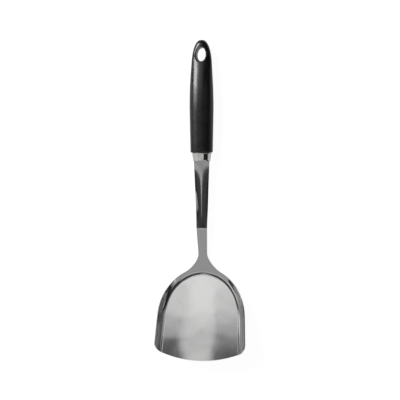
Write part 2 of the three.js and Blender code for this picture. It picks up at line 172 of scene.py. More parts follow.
def apply_modifier(piece: Object, kind: str, **settings: Any) -> None:
    """Adds a modifier, sets it and applies it.

    Args:
        piece: The object that is modified.
        kind: The modifier's type.
        settings: Values of the modifier's own properties.
    """
    select_only(piece)
    modifier = piece.modifiers.new(kind.title(), kind)
    for key, value in settings.items():
        setattr(modifier, key, value)
    bpy.ops.object.modifier_apply(modifier=modifier.name)


def combine(piece: Object, tool: Object, cut: Cut) -> None:
    """Joins a tool body to a piece or takes it away, and removes the tool."""
    apply_modifier(piece, "BOOLEAN", operation=cut.value, object=tool, solver="EXACT")
    bpy.data.objects.remove(tool)


def close_up(piece: Object, reach: float = MERGE_REACH) -> None:
    """Merges doubled points and turns all faces outwards.

    Args:
        piece: The closed body, or the skin before it gets its thickness.
        reach: Points nearer than this are merged.
    """
    with edit_mode(piece):
        bpy.ops.mesh.remove_doubles(threshold=reach)
        bpy.ops.mesh.normals_make_consistent(inside=False)


def shade_smooth(piece: Object, crease: float) -> None:
    """Shades a piece smoothly, apart from edges that fold more than a crease."""
    select_only(piece)
    bpy.ops.object.shade_smooth_by_angle(angle=crease)


def lay_grid(name: str, places: Array) -> Object:
    """Adds a flat grid and lays each of its points on a formed surface.

    Args:
        name: Name of the new object.
        places: A place for each point, as rows x columns x 3.

    Returns:
        The formed grid.
    """
    rows, columns = places.shape[:2]
    cells = {"x_subdivisions": columns - 1, "y_subdivisions": rows - 1}
    grid = add_primitive(bpy.ops.mesh.primitive_grid_add, name, size=1, **cells)
    flat = np.empty(3 * len(grid.data.vertices), np.float32)
    grid.data.vertices.foreach_get("co", flat)
    share = flat.reshape(-1, 3) + 0.5
    column = np.rint(share[:, 0] * (columns - 1)).astype(int)
    row = np.rint(share[:, 1] * (rows - 1)).astype(int)
    grid.data.vertices.foreach_set("co", places[row, column].astype(np.float32).ravel())
    grid.data.update()
    return grid


@dataclass(frozen=True)
class Section:
    """Oval section of a body: its middle, and how far the unit circle is stretched."""

    centre: Triple
    stretch: Triple


def draw_out(
    name: str, start: Start, sections: Sequence[Section], sides: int, roundness: float = 2
) -> Object:
    """Draws a body out of one circle, section by section, and closes both of its ends.

    Args:
        name: Name of the new object.
        start: How the circle is turned.
        sections: The sections in their order along the skin.
        sides: Points in each section.
        roundness: Exponent of a section that stands across, where 2 is an ellipse.

    Returns:
        The closed body.
    """
    centre, stretch = sections[0].centre, (1, 1, 1)
    circle = {"vertices": sides, "radius": 1, "fill_type": "NGON", "location": centre}
    body = add_primitive(
        bpy.ops.mesh.primitive_circle_add, name, rotation=start.value, **circle
    )
    for point in body.data.vertices:
        across, up = point.co.x, point.co.z - centre[2]
        point.co.x = math.copysign(abs(across) ** (2 / roundness), across)
        point.co.z = centre[2] + math.copysign(abs(up) ** (2 / roundness), up)
    with edit_mode(body):
        for index, section in enumerate(sections):
            if index:
                step = [new - old for new, old in zip(section.centre, centre)]
                bpy.ops.mesh.extrude_region_move(TRANSFORM_OT_translate={"value": step})
            grow = [new / old for new, old in zip(section.stretch, stretch)]
            bpy.ops.transform.resize(value=grow, center_override=section.centre)
            centre, stretch = section.centre, section.stretch
    close_up(body)
    return body


def dress(piece: Object, name: str, node: str, slot: Slot, finish: Material) -> Object:
    """Names a finished piece, gives it its material and puts it in the place of a node.

    Args:
        piece: The finished piece.
        name: Its name.
        node: The node of the frame that it stands for.
        slot: The record's slot for its finish; not used.
        finish: Its material.

    Returns:
        The same piece.
    """
    settle(piece, name)
    piece.data.materials.clear()
    piece.data.materials.append(finish)
    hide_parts(node)
    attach(piece, BODY)
    return piece


def smooth_step(value: Array | float, start: float, end: float) -> Array:
    """Returns a curve that rises smoothly from 0 at the start to 1 at the end."""
    share = np.clip((np.asarray(value, float) - start) / (end - start), 0, 1)
    return share * share * (3 - 2 * share)


def lerp(low: Any, high: Any, share: Any) -> Any:
    """Returns the value at a share of the way from low to high."""
    return low + (high - low) * share


# The blade


@dataclass
class PressedBlade:
    """Shovel head, flared neck, shank and tang, pressed out of one sheet.

    The head is drawn square on to its plate: x across and s from the heel to the front edge.
    """

    heel_y: float
    shank_level: float
    thickness: float = 0.0012
    plate_length: float = 0.0966
    plate_tilt: float = math.radians(16.4)
    arch_half_width: float = 0.037
    arch_depth: float = 0.050
    arch_flare: float = 0.05
    front_edge_radius: float = 0.119
    plate_bow_power: float = 3
    rim_half_width: float = 0.0454
    rim_depth: float = 0.0536
    rim_centre: float = 0.048
    rim_flare: float = 0.052
    rim_corner_radius: float = 0.0105
    fold_softness: float = 1.4
    neck_run: float = 0.00725
    neck_inset: float = 0.0046
    inset_fade: Pair = (0.1, 0.7)
    wall_run: float = 0.0055
    bow_across: float = 0.0005
    bow_along: float = 0.0012
    neck_fold: float = math.radians(25.7)
    wall_fold: float = math.radians(48)
    wall_turn: Pair = (0.2, 0.8)
    neck_length: float = 0.020
    neck_half_width: float = 0.0048
    flare_neck_handle: float = 0.007
    flare_rim_handle: float = 0.004
    flare_probe: float = math.radians(1)
    shank_fold_share: float = 0.3
    bend_radius: float = 0.015
    bend_distance: float = 0.0494
    shank_half_width: float = 0.0086
    shank_reach: float = 0.1235
    crown_height: float = 0.0015
    crown_full: float = 0.3
    neck_settle: float = 0.012
    shoulder_outset: float = 0.0015
    shoulder_run: float = 0.003
    tang_half_width: float = 0.0055
    tang_length: float = 0.062
    tang_end_run: float = 0.003
    tang_end_half_width: float = 0.003
    lock_hole_radius: float = 0.0026
    lock_hole_places: Pair = (0.024, 0.046)
    lock_hole_sides: int = 48
    edge_round: float = 0.0003
    edge_steps: int = 3
    edge_angle: float = math.radians(50)
    crease: float = math.radians(40)
    fold_samples: int = 600
    column_counts: tuple[int, ...] = (10, 24, 64, 24, 16)
    fold_rows: int = 18
    wall_rows: int = 14
    plate_columns: int = 24
    shank_rows: tuple[int, ...] = (110, 9, 40, 5)

    def front_edge(self, x: Array | float) -> Array:
        """Returns how far the front edge is from the heel at a distance x from the middle."""
        drop = np.sqrt(self.front_edge_radius**2 - np.square(x))
        return self.plate_length - self.front_edge_radius + drop

    def fold_place(self, turn: Array | float, run: Array | float) -> Array:
        """Returns (x, s) on the fold of plate and walls, a turn round its arch and a run on."""
        s = self.arch_depth * (1 - np.cos(turn)) + run
        return np.stack([self.arch_half_width * np.sin(turn) + self.arch_flare * s, s], -1)

    def rim_place(self, turn: Array | float, run: Array | float) -> Array:
        """Returns (x, s) on the outer rim, a turn round its ellipse and a run on."""
        s = self.rim_centre - self.rim_depth * np.cos(turn) + run
        return np.stack([self.rim_half_width * np.sin(turn) + self.rim_flare * s, s], -1)

    def side_run(self) -> float:
        """Finds how far the fold's side runs straight before it meets the front edge.

        Returns:
            The length of the run.
        """
        run = self.plate_length - self.arch_depth
        for _ in range(SOLVE_ROUNDS):
            x, s = self.fold_place(QUARTER_TURN, run)
            run += float(self.front_edge(x) - s)
        return run

    def corner_arc(self, share: Array) -> Array:
        """Rounds the front corner with a circle that touches the side and the front edge.

        Args:
            share: Shares of the way from the side to the front edge.

        Returns:
            Places (x, s).
        """
        radius, lean = self.rim_corner_radius, math.atan(self.rim_flare)
        front_centre = self.plate_length - self.front_edge_radius
        s = self.plate_length - radius
        x = 0.0
        for _ in range(SOLVE_ROUNDS):
            x = self.rim_half_width + self.rim_flare * s - radius / math.cos(lean)
            s = front_centre + math.sqrt((self.front_edge_radius - radius) ** 2 - x**2)
        angle = lerp(-lean, math.atan2(s - front_centre, x), share)
        return np.stack([x + radius * np.cos(angle), s + radius * np.sin(angle)], -1)

    def flare_curve(self, share: Array, top_turn: float) -> Array:
        """Draws the flare from the narrowest place of the neck up to the rim.

        Args:
            share: Shares of the way along the flare.
            top_turn: Angle round the rim's ellipse where the flare joins it.

        Returns:
            Places (x, s).
        """
        top = self.rim_place(top_turn, 0)
        step = self.rim_place(top_turn + self.flare_probe, 0) - top
        slope = step / step[1]
        neck = np.array([self.neck_half_width, -self.neck_length])
        neck_pole = neck + [0, self.flare_neck_handle]
        poles = [neck, neck_pole, top - slope * self.flare_rim_handle, top]
        share = np.asarray(share)[:, None]
        rest = 1 - share
        weights = [rest**3, 3 * rest**2 * share, 3 * rest * share**2, share**3]
        return sum(weight * pole for weight, pole in zip(weights, poles))

    def columns(self) -> tuple[Array, Array]:
        """Pairs places on the fold with places on the outer edge.

        Returns:
            The fold's places and the edge's, from the neck's middle to the front corner.
        """
        neck, flare, quarter, side, corner = (
            np.linspace(0, 1, count + 1) for count in self.column_counts
        )
        flare, quarter, side, corner = flare[1:], quarter[1:], side[1:], corner[1:]
        top_turn = math.acos(self.rim_centre / self.rim_depth)
        shank_turn = top_turn * self.shank_fold_share
        turns = lerp(top_turn, QUARTER_TURN, quarter)
        full_run = self.side_run()
        side_run = full_run - self.rim_corner_radius
        folds = [
            self.fold_place(shank_turn * neck, 0),
            self.fold_place(lerp(shank_turn, top_turn, flare), 0),
            self.fold_place(turns, 0),
            self.fold_place(np.full_like(side, QUARTER_TURN), side_run * side),
            self.fold_place(np.full_like(corner, QUARTER_TURN), lerp(side_run, full_run, corner)),
        ]
        side_end = self.corner_arc(np.zeros(1))[0]
        edges = [
            np.stack([self.neck_half_width * neck, np.full_like(neck, -self.neck_length)], -1),
            self.flare_curve(flare, top_turn),
            self.rim_place(turns, 0),
            lerp(self.rim_place(QUARTER_TURN, 0), side_end, side[:, None]),
            self.corner_arc(corner),
        ]
        return np.concatenate(folds), np.concatenate(edges)

    def wall_height(self, places: Array) -> Array:
        """Finds how far the upper face stands above the plate's plane.

        Args:
            places: Places (x, s) of the head, as an array whose last axis is 2.

        Returns:
            Heights above the plate.
        """
        share = np.linspace(0, 1, self.fold_samples + 1)
        far_end = self.fold_place(QUARTER_TURN, 2 * self.side_run())
        line = np.concatenate([self.fold_place(share * QUARTER_TURN, 0), far_end[None]])
        share = np.append(share, 1)
        start, along = line[:-1], np.diff(line, axis=0)
        flat = places.reshape(-1, 1, 2)
        part = np.clip(((flat - start) * along).sum(-1) / (along**2).sum(-1), 0, 1)
        gaps = np.linalg.norm(flat - start - part[..., None] * along, axis=-1)
        best = gaps.argmin(1)
        rows = np.arange(len(best))
        side = np.cross(along[best], flat[:, 0] - start[best])
        distance = np.where(side > 0, -gaps[rows, best], gaps[rows, best])
        turned = lerp(share[best], share[best + 1], part[rows, best])
        blend = smooth_step(turned, *self.wall_turn)
        slope = np.tan(lerp(self.neck_fold, self.wall_fold, blend))
        run = lerp(self.neck_run, self.wall_run, blend)
        inset = self.neck_inset * (1 - smooth_step(turned, *self.inset_fade))
        distance = np.maximum(distance + inset, 0)
        within = np.minimum(distance / run, 1)
        curved = run * within ** (self.fold_softness + 1) / (self.fold_softness + 1)
        return (slope * (curved + distance - run * within)).reshape(places.shape[:-1])

    @property
    def heel_height(self) -> float:
        """Finds how high the plate's plane is at the heel, when the fold touches the floor.

        Returns:
            The height.
        """
        steep, power = math.tan(self.neck_fold), self.fold_softness + 1
        share = (math.tan(self.plate_tilt) / steep) ** (1 / self.fold_softness)
        rise = steep * self.neck_run * share**power / power
        sink = (self.neck_inset - share * self.neck_run) * math.sin(self.plate_tilt)
        return self.thickness - rise * math.cos(self.plate_tilt) - sink

    def head_place(self, places: Array, height: Array) -> Array:
        """Lays the head out as it lies at rest, on the outer curve of the fold at its heel.

        Args:
            places: Places (x, s).
            height: Heights above the plate.

        Returns:
            Places (x, y, z).
        """
        sine, cosine = math.sin(self.plate_tilt), math.cos(self.plate_tilt)
        x, s = places[..., 0], places[..., 1]
        height = height - self.bow_across * np.square(x / self.arch_half_width)
        height = height - self.bow_along * np.square(np.maximum(s, 0) / self.plate_length)
        y = self.heel_y + height * sine - s * cosine
        return np.stack([x, y, self.heel_height + height * cosine + s * sine], -1)

    def wall_skin(self) -> Array:
        """Lays rows from the fold out to the rim, one column beside the other.

        Returns:
            Places (x, y, z), as rows x columns x 3.
        """
        folds, edges = self.columns()
        reach = np.linalg.norm(edges - folds, axis=-1)
        curved = np.minimum(self.wall_run, reach / 2)
        near = np.linspace(0, 1, self.fold_rows + 1)[:, None] * curved
        far = lerp(curved, reach, np.linspace(0, 1, self.wall_rows + 1)[1:, None])
        share = np.concatenate([near, far]) / reach
        places = lerp(folds, edges, share[..., None])
        return self.head_place(places, self.wall_height(places))

    def plate_skin(self) -> Array:
        """Lays rows across half of the plate, which bow out towards the front edge.

        Returns:
            Places (x, y, z), as rows x columns x 3.
        """
        folds, _ = self.columns()
        x, s = folds[:, 0], folds[:, 1]
        across = np.linspace(0, 1, self.plate_columns + 1)[:, None] * x
        bow = (s / s[-1]) ** self.plate_bow_power
        along = s + bow * (self.front_edge(across) - self.front_edge(x))
        places = np.stack([across, along], -1)
        return self.head_place(places, self.wall_height(places))

    @property
    def neck_end(self) -> Array:
        """Middle of the narrowest place of the neck."""
        place = np.array([0, -self.neck_length])
        return self.head_place(place, self.wall_height(place[None])[0])

    @property
    def neck_rise(self) -> float:
        """Angle at which the neck climbs to the bend."""
        _, y, z = self.neck_end
        return math.atan2(self.shank_level - z, self.heel_y + self.bend_distance - y)

    @property
    def bend_start(self) -> float:
        """Where the neck starts to turn level."""
        tangent = self.bend_radius * math.tan(self.neck_rise / 2)
        return self.heel_y + self.bend_distance - tangent * math.cos(self.neck_rise)

    @property
    def ferrule_y(self) -> float:
        """Where the shank enters the ferrule."""
        return self.heel_y + self.shank_reach

    @property
    def shoulder_y(self) -> float:
        """Where the shank starts to round in towards the tang."""
        return self.ferrule_y - self.shoulder_outset

    @property
    def tang_y(self) -> float:
        """Where the tang starts."""
        return self.shoulder_y + self.shoulder_run

    @property
    def tang_end_y(self) -> float:
        """Where the tang ends inside the handle."""
        return self.tang_y + self.tang_length

    @property
    def middle_z(self) -> float:
        """Height of the middle of the sheet in the shank."""
        return self.shank_level - self.thickness / 2

    def middle_height(self, y: Array) -> Array:
        """Follows the middle line of neck and shank, seen from the side.

        Args:
            y: Places along the spatula.

        Returns:
            Heights of the upper face.
        """
        _, neck_y, neck_z = self.neck_end
        rising = neck_z + (y - neck_y) * math.tan(self.neck_rise)
        before = math.sin(self.neck_rise) * self.bend_radius - (y - self.bend_start)
        drop = np.sqrt(self.bend_radius**2 - np.clip(before, 0, self.bend_radius) ** 2)
        turning = self.shank_level - self.bend_radius + drop
        return np.where(y <= self.bend_start, rising, turning)

    def tapered(self, y: Array | float) -> Any:
        """Returns the half width that grows evenly from the neck to the ferrule."""
        share = (y - self.neck_end[1]) / (self.ferrule_y - self.neck_end[1])
        return lerp(self.neck_half_width, self.shank_half_width, share)

    def half_width(self, y: Array) -> Array:
        """Follows the outline of shank and tang, seen from above.

        Args:
            y: Places along the spatula.

        Returns:
            Half widths.
        """
        turned = np.clip((y - self.shoulder_y) / self.shoulder_run, 0, 1)
        widest = self.tapered(self.shoulder_y)
        shoulder = lerp(self.tang_half_width, widest, np.sqrt(1 - turned**2))
        end_share = np.clip((y - self.tang_end_y) / self.tang_end_run + 1, 0, 1)
        tang = lerp(shoulder, self.tang_end_half_width, end_share)
        return np.where(y <= self.shoulder_y, self.tapered(y), tang)

    def crown_drop(self, y: Array) -> Array:
        """Says how far the edges of the shank lie below its middle.

        Args:
            y: Places along the spatula.

        Returns:
            Drops of the edge.
        """
        share = (y - self.bend_start) / (self.ferrule_y - self.bend_start)
        rise = smooth_step(share, 0, self.crown_full)
        return self.crown_height * rise * (1 - smooth_step(share, self.crown_full, 1))

    def shank_skin(self) -> Array:
        """Lays rows across half of the shank and the tang, carried on from the neck.

        Returns:
            Places (x, y, z), as rows x columns x 3.
        """
        neck_y = self.neck_end[1]
        shank, shoulder, tang, end = self.shank_rows
        end_y = self.tang_end_y - self.tang_end_run
        round_in = np.sin(np.linspace(0, QUARTER_TURN, shoulder)[1:])
        parts = [
            np.linspace(neck_y, self.shoulder_y, shank),
            self.shoulder_y + self.shoulder_run * round_in,
            np.linspace(self.tang_y, end_y, tang)[1:],
            np.linspace(end_y, self.tang_end_y, end)[1:],
        ]
        y = np.concatenate(parts)
        share = np.linspace(0, 1, self.column_counts[0] + 1)
        x = self.half_width(y)[:, None] * share
        z = self.middle_height(y)[:, None] - self.crown_drop(y)[:, None] * share**2
        places = np.stack([x, np.repeat(y[:, None], len(share), 1), z], -1)
        neck_row = self.wall_skin()[-1, : len(share)]
        fading = 1 - smooth_step(y, neck_y, neck_y + self.neck_settle)
        return places + fading[:, None, None] * (neck_row - places[0])

    def form_sheet(self) -> Object:
        """Forms the upper skin from its patches, mirrors it and gives it its thickness.

        Returns:
            The blade with sharp edges.
        """
        patches = [
            lay_grid("blade_sheet", self.wall_skin()),
            lay_grid("blade_plate", self.plate_skin()),
            lay_grid("blade_shank", self.shank_skin()),
        ]
        select_only(*patches)
        bpy.ops.object.join()
        sheet = bpy.context.object
        half = {"use_axis": (True, False, False), "merge_threshold": MERGE_REACH}
        apply_modifier(sheet, "MIRROR", **half)
        close_up(sheet, SEAM_REACH)
        if sum(face.normal.z for face in sheet.data.polygons) < 0:
            with edit_mode(sheet):
                bpy.ops.mesh.flip_normals()
        wall = {"thickness": self.thickness, "offset": -1, "use_even_offset": True}
        apply_modifier(sheet, "SOLIDIFY", **wall)
        return sheet

    def lock_pegs(self, name: str, radius: float, sides: int) -> Iterator[Object]:
        """Adds an upright round peg at each hole of the tang that the handle's posts lock.

        Args:
            name: Name of the pegs.
            radius: Their radius.
            sides: Points in their round.

        Returns:
            One peg after the other.
        """
        size = {"vertices": sides, "radius": radius, "depth": PEG_THICKNESSES * self.thickness}
        for place in self.lock_hole_places:
            location = (0, self.shoulder_y + place, self.middle_z)
            cylinder = bpy.ops.mesh.primitive_cylinder_add
            yield add_primitive(cylinder, name, location=location, **size)

    def build(self, finish: Material) -> Object:
        """Makes the blade and dresses it.

        Args:
            finish: The steel's material.

        Returns:
            The finished blade.
        """
        sheet = self.form_sheet()
        for drill in self.lock_pegs("lock_drill", self.lock_hole_radius, self.lock_hole_sides):
            combine(sheet, drill, Cut.TAKE_AWAY)
        rounding = {"width": self.edge_round, "segments": self.edge_steps}
        edges = {"limit_method": "ANGLE", "angle_limit": self.edge_angle}
        apply_modifier(sheet, "BEVEL", **rounding, **edges)
        shade_smooth(sheet, self.crease)
        apply_modifier(sheet, "WEIGHTED_NORMAL", keep_sharp=True, weight=NORMAL_WEIGHT)
        return dress(sheet, "blade_formed", "blade", Slot.BLADE, finish)


# The ferrule


@dataclass
class DrawnFerrule:
    """Tapered collar with a lip at the handle and an end wall with a slot for the shank."""

    blade: PressedBlade
    length: float = 0.0098
    wall: float = 0.0008
    half_width: float = 0.0107
    half_depth: float = 0.007
    taper: float = 0.0012
    lip_height: float = 0.0004
    lip_length: float = 0.001
    mouth_radius: float = 0.0007
    lip_round: float = 0.0002
    gap: float = 0.0003
    slot_gap: float = 0.0001
    mouth_steps: int = 5
    wall_steps: int = 7
    lip_steps: int = 6
    sides: int = 112
    crease: float = math.radians(35)

    @property
    def near(self) -> float:
        """Where the ferrule ends at the handle."""
        return self.blade.ferrule_y + self.length - self.gap

    def section(self, y: float, grow: float) -> Section:
        """Finds the tapered section at a place.

        Args:
            y: The place.
            grow: How far the section is grown.

        Returns:
            The section.
        """
        grow -= self.taper * (self.near - y) / (self.near - self.blade.ferrule_y)
        wide, deep = self.half_width + grow, self.half_depth + grow
        return Section((0, y, self.blade.middle_z), (wide, 1, deep))

    def shell(self) -> Object:
        """Draws the outer skin, turns in at the lip and draws the hollow to the end wall.

        Returns:
            The cup, still without its slot.
        """
        mouth, lip = self.blade.ferrule_y, self.near - self.lip_length
        skin = []
        for turn in np.linspace(0, QUARTER_TURN, self.mouth_steps):
            y = mouth + self.mouth_radius * (1 - math.cos(turn))
            skin.append((y, -self.mouth_radius * (1 - math.sin(turn))))
        skin += [(y, 0) for y in np.linspace(skin[-1][0], lip, self.wall_steps)[1:]]
        turns = np.linspace(0, QUARTER_TURN, self.lip_steps)
        rise = [(self.lip_round * (1 - math.cos(t)), self.lip_height * math.sin(t)) for t in turns]
        skin += [(lip + along, grow) for along, grow in rise[1:]]
        skin += [(self.near - along, grow) for along, grow in reversed(rise)]
        skin += [(self.near, -self.wall), (mouth + self.wall, -self.wall)]
        sections = [self.section(*place) for place in skin]
        return draw_out("ferrule_drawn", Start.ACROSS, sections, self.sides)

    def build(self, finish: Material) -> Object:
        """Makes the ferrule and dresses it.

        Args:
            finish: The steel's material.

        Returns:
            The finished ferrule.
        """
        collar = self.shell()
        mouth = self.blade.ferrule_y
        slot_half = float(self.blade.half_width(np.array([mouth]))[0]) + self.slot_gap
        height = self.blade.thickness + 2 * self.slot_gap
        sides = (2 * slot_half, 2 * (self.wall + self.gap), height)
        slot = add_box("ferrule_slot", (0, mouth, self.blade.middle_z), sides)
        combine(collar, slot, Cut.TAKE_AWAY)
        shade_smooth(collar, self.crease)
        return dress(collar, "ferrule_drawn", "ferrule", Slot.FERRULE, finish)


# The handle


@dataclass
class MouldedHandle:
    """Moulded grip with lips about its hanging hole, a spigot, and a socket for the tang.

    A station holds a share of the length, and shares of the half width, of the half depth and
    of how far the section's middle is lowered.
    """

    blade: PressedBlade
    ferrule: DrawnFerrule
    length: float = 0.1232
    half_width: float = 0.0132
    half_depth: float = 0.0099
    nose_radius: float = 0.0012
    butt_length: float = 0.026
    butt_roundness: float = 2.5
    butt_edge: float = 0.008
    roundness: float = 2.15
    stations: tuple[tuple[float, float, float, float], ...] = (
        (0, 0.935, 0.87, 0),
        (0.21, 0.97, 0.94, 0),
        (0.42, 1, 1, 0),
        (0.58, 0.97, 0.94, 0),
        (0.69, 0.915, 0.79, 0.03),
        (0.77, 0.87, 0.63, 0.085),
        (0.84, 0.83, 0.53, 0.12),
        (0.92, 0.78, 0.505, 0.13),
        (1, 0.74, 0.49, 0.13),
    )
    hole_half_width: float = 0.0054
    hole_half_length: float = 0.0078
    hole_from_butt: float = 0.0161
    hole_sides: int = 96
    lip_inner: float = 0.0010
    lip_outer: float = 0.0011
    lip_fall: float = 0.00048
    lip_bulge: float = 1.15
    lip_rise: float = 0.0009
    lip_steps: int = 9
    mouth_lift: float = 0.0001
    gap: float = 0.0003
    overrun: float = 0.002
    tip: float = 0.9987
    ring_counts: tuple[int, ...] = (7, 54, 34)
    post_sides: int = 32
    sides: int = 128
    crease: float = math.radians(32)

    @property
    def nose_y(self) -> float:
        """Where the grip starts."""
        return self.blade.ferrule_y + self.ferrule.length

    def station(self, share: float, column: int) -> float:
        """Reads a smooth curve through the stations.

        Args:
            share: Share of the handle's length.
            column: Which of a station's values is read.

        Returns:
            The value there.
        """
        last = len(self.stations) - 1
        index = 0
        while index + 1 < last and self.stations[index + 1][0] < share:
            index += 1
        reach = self.stations[index + 1][0] - self.stations[index][0]
        part = (share - self.stations[index][0]) / reach
        around = (min(max(index + step, 0), last) for step in (-1, 0, 1, 2))
        before, low, high, after = (self.stations[place][column] for place in around)
        leave, arrive = (high - before) / 2, (after - low) / 2
        cubic = (2 * low - 2 * high + leave + arrive) * part**3
        return cubic + (3 * high - 3 * low - 2 * leave - arrive) * part**2 + leave * part + low

    def section(self, reach: float) -> Section:
        """Finds the grip's section at a reach from its nose.

        Args:
            reach: Distance from the nose.

        Returns:
            The section.
        """
        share = min(max(reach / self.length, 0), 1)
        butt = max(0.0, (reach - self.length + self.butt_length) / self.butt_length)
        rounding = max(0.0, 1 - butt**self.butt_roundness) ** (1 / self.butt_roundness)
        edge = max(0.0, (reach - self.length + self.butt_edge) / self.butt_edge)
        nose = max(0.0, 1 - reach / self.nose_radius)
        nose_cut = self.nose_radius * (1 - math.sqrt(1 - nose**2))
        wide = self.half_width * self.station(share, 1) * rounding - nose_cut
        deep = self.half_depth * self.station(share, 2) * math.sqrt(1 - edge**2) - nose_cut
        z = self.half_depth * (1 - self.station(share, 3))
        return Section((0, self.nose_y + reach, z), (wide, 1, deep))

    def grip(self) -> Object:
        """Draws the grip from its nose to the tip of its butt.

        Returns:
            The solid grip.
        """
        nose, body, butt = self.ring_counts
        turns = np.linspace(0, QUARTER_TURN, nose)[:-1]
        reaches = [self.nose_radius * (1 - math.cos(turn)) for turn in turns]
        reaches += list(np.linspace(self.nose_radius, self.length - self.butt_length, body)[:-1])
        turns = np.linspace(0, math.asin(self.tip), butt)
        reaches += [self.length - self.butt_length * (1 - math.sin(turn)) for turn in turns]
        sections = [self.section(reach) for reach in reaches]
        return draw_out("handle_grip", Start.ACROSS, sections, self.sides, self.roundness)

    def hole_body(self, name: str, levels: Sequence[Pair]) -> Object:
        """Draws an upright oval body about the hanging hole.

        Args:
            name: Name of the new object.
            levels: For each, how far the oval is grown from the hole's edge, and its height.

        Returns:
            The closed body.
        """
        y = self.nose_y + self.length - self.hole_from_butt
        wide, long = self.hole_half_width, self.hole_half_length
        ovals = [Section((0, y, z), (wide + grow, long + grow, 1)) for grow, z in levels]
        return draw_out(name, Start.FLAT, ovals, self.hole_sides)

    def mould_hole(self, grip: Object) -> None:
        """Raises the lips about the hanging hole and opens it with rounded mouths.

        Args:
            grip: The solid grip.
        """
        middle = self.section(self.length - self.hole_from_butt)
        low = middle.centre[2] - middle.stretch[2] - self.lip_rise
        high = middle.centre[2] + middle.stretch[2] + self.lip_rise
        shares = np.linspace(0, 1, self.lip_steps)
        steps = [(share, self.lip_fall * share**self.lip_bulge) for share in shares]
        outside = [(self.lip_inner + self.lip_outer * step, fall) for step, fall in steps]
        inside = [(self.lip_inner * (1 - step), fall) for step, fall in steps]
        collar = [(aside, low + fall) for aside, fall in outside]
        collar += [(aside, high - fall) for aside, fall in reversed(outside)]
        combine(grip, self.hole_body("handle_lip", collar), Cut.JOIN)
        low, high = low - self.mouth_lift, high + self.mouth_lift
        bore = [(self.lip_inner, low + self.mouth_lift - self.overrun)]
        bore += [(aside, low + fall) for aside, fall in inside]
        bore += [(aside, high - fall) for aside, fall in reversed(inside)]
        bore += [(self.lip_inner, high - self.mouth_lift + self.overrun)]
        combine(grip, self.hole_body("handle_bore", bore), Cut.TAKE_AWAY)

    def add_spigot(self, grip: Object) -> None:
        """Joins the spigot that carries the ferrule.

        Args:
            grip: The solid grip.
        """
        inset = -self.ferrule.wall - self.gap
        front = self.ferrule.section(self.blade.tang_y + self.gap, inset)
        back = self.ferrule.section(self.nose_y, inset)
        root = Section((0, self.nose_y + self.nose_radius, back.centre[2]), back.stretch)
        spigot = draw_out("handle_spigot", Start.ACROSS, [front, back, root], self.sides)
        combine(grip, spigot, Cut.JOIN)

    def open_socket(self, grip: Object) -> None:
        """Opens the socket for the tang and leaves the two posts that lock it.

        Args:
            grip: The grip with its spigot.
        """
        blade, gap = self.blade, self.gap
        start, end = blade.tang_y + gap - self.overrun, blade.tang_end_y + gap
        sides = (2 * (blade.tang_half_width + gap), end - start, blade.thickness + 2 * gap)
        socket = add_box("handle_socket", (0, (start + end) / 2, blade.middle_z), sides)
        radius = blade.lock_hole_radius - gap
        for post in blade.lock_pegs("handle_post", radius, self.post_sides):
            combine(socket, post, Cut.TAKE_AWAY)
        combine(grip, socket, Cut.TAKE_AWAY)

    def build(self, finish: Material) -> Object:
        """Makes the handle and dresses it.

        Args:
            finish: The plastic's material.

        Returns:
            The finished handle.
        """
        grip = self.grip()
        self.mould_hole(grip)
        self.add_spigot(grip)
        self.open_socket(grip)
        close_up(grip)
        shade_smooth(grip, self.crease)
        apply_modifier(grip, "WEIGHTED_NORMAL", keep_sharp=True, weight=NORMAL_WEIGHT)
        return dress(grip, "handle_moulded", "handle", Slot.HANDLE, finish)


# Finishes


def fill(tree: NodeTree, sockets: Any, values: dict[Any, Any]) -> None:
    """Links a node's inputs to other sockets, or sets them.

    Args:
        tree: The node tree.
        sockets: The node's inputs.
        values: For each input's name or number, a socket to link or a value to set.
    """
    for key, value in values.items():
        if isinstance(value, bpy.types.NodeSocket):
            tree.links.new(value, sockets[key])
        else:
            sockets[key].default_value = value


def add_node(
    tree: NodeTree, kind: str, inputs: dict[Any, Any] | None = None, **settings: Any
) -> Any:
    """Adds a node, sets its properties and fills its inputs.

    Args:
        tree: The node tree.
        kind: The node's type, without its ShaderNode prefix.
        inputs: What its inputs are filled with.
        settings: Values of the node's own properties.

    Returns:
        The new node.
    """
    node = tree.nodes.new("ShaderNode" + kind)
    for key, value in settings.items():
        setattr(node, key, value)
    fill(tree, node.inputs, inputs or {})
    return node


def map_range(tree: NodeTree, value: Any, source: Pair, target: Pair) -> Any:
    """Maps a value from a source range to a target range, clamped."""
    inputs = dict(enumerate((value, *source, *target)))
    return add_node(tree, "MapRange", inputs).outputs["Result"]


def math_node(tree: NodeTree, operation: str, *values: Any) -> Any:
    """Adds one step of arithmetic on sockets or numbers."""
    return add_node(tree, "Math", dict(enumerate(values)), operation=operation).outputs[0]


def vector_node(tree: NodeTree, operation: str, output: str, *values: Any) -> Any:
    """Adds one step of arithmetic on vectors and gives the named output."""
    inputs = dict(enumerate(values))
    return add_node(tree, "VectorMath", inputs, operation=operation).outputs[output]


def mix_values(tree: NodeTree, share: Any, low: Any, high: Any) -> Any:
    """Mixes two values by a share of the second one."""
    return add_node(tree, "Mix", {0: share, 2: low, 3: high}, data_type="FLOAT").outputs[0]


def mix_colors(tree: NodeTree, share: Any, low: Triple, high: Triple) -> Any:
    """Mixes two colours by a share of the second one."""
    inputs = {0: share, 6: (*low, 1), 7: (*high, 1)}
    return add_node(tree, "Mix", inputs, data_type="RGBA").outputs[2]


def grey(tree: NodeTree, tone: Any) -> Any:
    """Makes a grey of a tone."""
    return add_node(tree, "CombineColor", {0: tone, 1: tone, 2: tone}).outputs[0]


def noise(tree: NodeTree, vector: Any, scale: Any, detail: float, **more: Any) -> Any:
    """Adds a noise pattern about 0.5."""
    inputs = {"Vector": vector, "Scale": scale, "Detail": detail, **more}
    return add_node(tree, "TexNoise", inputs).outputs["Fac"]


